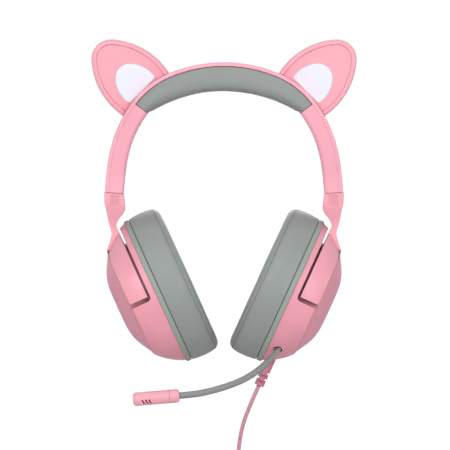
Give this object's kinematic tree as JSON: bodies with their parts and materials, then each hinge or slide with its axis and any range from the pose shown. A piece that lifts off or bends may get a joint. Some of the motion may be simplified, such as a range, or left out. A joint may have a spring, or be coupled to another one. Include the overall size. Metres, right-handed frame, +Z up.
{
  "type": "gaming headset",
  "caption": "Wired over-ear gaming headset with sliding yokes, tilting cups, clip-on animal ears and a bendable boom microphone.",
  "frame": {"origin": "middle of the underside of the crown pad, where the head carries the headset", "axes": "+Z up, +X to the wearer's left, -Y to the wearer's front"},
  "size_m": [0.1856, 0.1243, 0.3911],
  "materials": {
    "shell_pink": "fine-grained satin pink",
    "cover_pink": "satin pink with a fine grille",
    "trim_pink": "semi-gloss pink",
    "cushion_grey": "soft grey leatherette",
    "ring_grey": "satin grey",
    "screen_grey": "open knit",
    "diffuser": "translucent white",
    "steel": "brushed",
    "spring_steel": "blued",
    "dark_plastic": "satin black",
    "magnet_metal": "nickel",
    "film": "clear film",
    "board": "solder mask",
    "boom_rubber": "soft grey",
    "cable_pink": "soft pink",
    "screw_steel": "black oxide"
  },
  "bodies": {
    "headband": {"headband_cover": "shell_pink", "headband_frame": "shell_pink", "headband_spring": "spring_steel", "headband_pad": "cushion_grey"},
    "ear_left": {"ear_front_shell_left": "shell_pink", "ear_back_shell_left": "shell_pink", "ear_diffuser_left": "diffuser", "ear_light_board_left": "board", "ear_clip_left": "dark_plastic"},
    "slider_left": {"slider_strip_left": "steel", "yoke_left": "shell_pink", "yoke_cap_left": "trim_pink", "pivot_pins_left": "steel"},
    "cup_left": {"cup_housing_left": "shell_pink", "cup_cover_left": "cover_pink", "cup_badge_left": "trim_pink", "baffle_left": "dark_plastic", "baffle_screws_left": "screw_steel", "driver_frame_left": "dark_plastic", "driver_magnet_left": "magnet_metal", "driver_diaphragm_left": "film", "cushion_screen_left": "screen_grey", "cushion_ring_left": "ring_grey", "ear_cushion_left": "cushion_grey", "audio_board": "board", "volume_pot": "dark_plastic", "mic_socket": "dark_plastic", "mic_boom": "boom_rubber", "strain_relief": "cable_pink", "usb_cable": "cable_pink", "cable_coil": "cable_pink", "cable_tie": "dark_plastic", "cable_tail": "cable_pink", "usb_plug_body": "cable_pink", "usb_plug_shell": "steel"},
    "ear_right": {"ear_front_shell_right": "shell_pink", "ear_back_shell_right": "shell_pink", "ear_diffuser_right": "diffuser", "ear_light_board_right": "board", "ear_clip_right": "dark_plastic"},
    "slider_right": {"slider_strip_right": "steel", "yoke_right": "shell_pink", "yoke_cap_right": "trim_pink", "pivot_pins_right": "steel"},
    "cup_right": {"cup_housing_right": "shell_pink", "cup_cover_right": "cover_pink", "cup_badge_right": "trim_pink", "baffle_right": "dark_plastic", "baffle_screws_right": "screw_steel", "driver_frame_right": "dark_plastic", "driver_magnet_right": "magnet_metal", "driver_diaphragm_right": "film", "cushion_screen_right": "screen_grey", "cushion_ring_right": "ring_grey", "ear_cushion_right": "cushion_grey"},
    "volume_wheel": {"volume_wheel": "trim_pink"},
    "mute_button": {"mute_button": "trim_pink"},
    "microphone": {"mic_collar": "shell_pink", "mic_capsule": "shell_pink", "mic_element": "dark_plastic"}
  },
  "joints": [
    {"name": "ear_left_pull", "type": "slide", "parent": "headband", "child": "ear_left", "axis": [0.7071, 0, 0.7071], "range_m": [0, 0.01]},
    {"name": "slider_left_extend", "type": "slide", "parent": "headband", "child": "slider_left", "axis": [0.0872, 0, -0.9962], "range_m": [0, 0.025]},
    {"name": "cup_left_tilt", "type": "hinge", "parent": "slider_left", "child": "cup_left", "pos_m": [0.06182, 0, -0.14126], "axis": [0, -1, 0], "range_deg": [-1.5, 12]},
    {"name": "ear_right_pull", "type": "slide", "parent": "headband", "child": "ear_right", "axis": [-0.7071, 0, 0.7071], "range_m": [0, 0.01]},
    {"name": "slider_right_extend", "type": "slide", "parent": "headband", "child": "slider_right", "axis": [-0.0872, 0, -0.9962], "range_m": [0, 0.025]},
    {"name": "cup_right_tilt", "type": "hinge", "parent": "slider_right", "child": "cup_right", "pos_m": [-0.06182, 0, -0.14126], "axis": [0, 1, 0], "range_deg": [-1.5, 12]},
    {"name": "volume_turn", "type": "hinge", "parent": "cup_left", "child": "volume_wheel", "pos_m": [0.04947, 0.034, -0.16113], "axis": [0.91, 0, -0.4147], "range_deg": [-135, 135]},
    {"name": "mute_press", "type": "slide", "parent": "cup_left", "child": "mute_button", "axis": [0.3008, -0.6884, 0.6601], "range_m": [0, 0.001], "stiffness_N_per_m": 600},
    {"name": "mic_bend", "type": "hinge", "parent": "cup_left", "child": "microphone", "pos_m": [0.0095, -0.0566, -0.2029], "axis": [0, 1, 0], "range_deg": [-20, 25], "deforming": ["mic_boom"]}
  ]
}
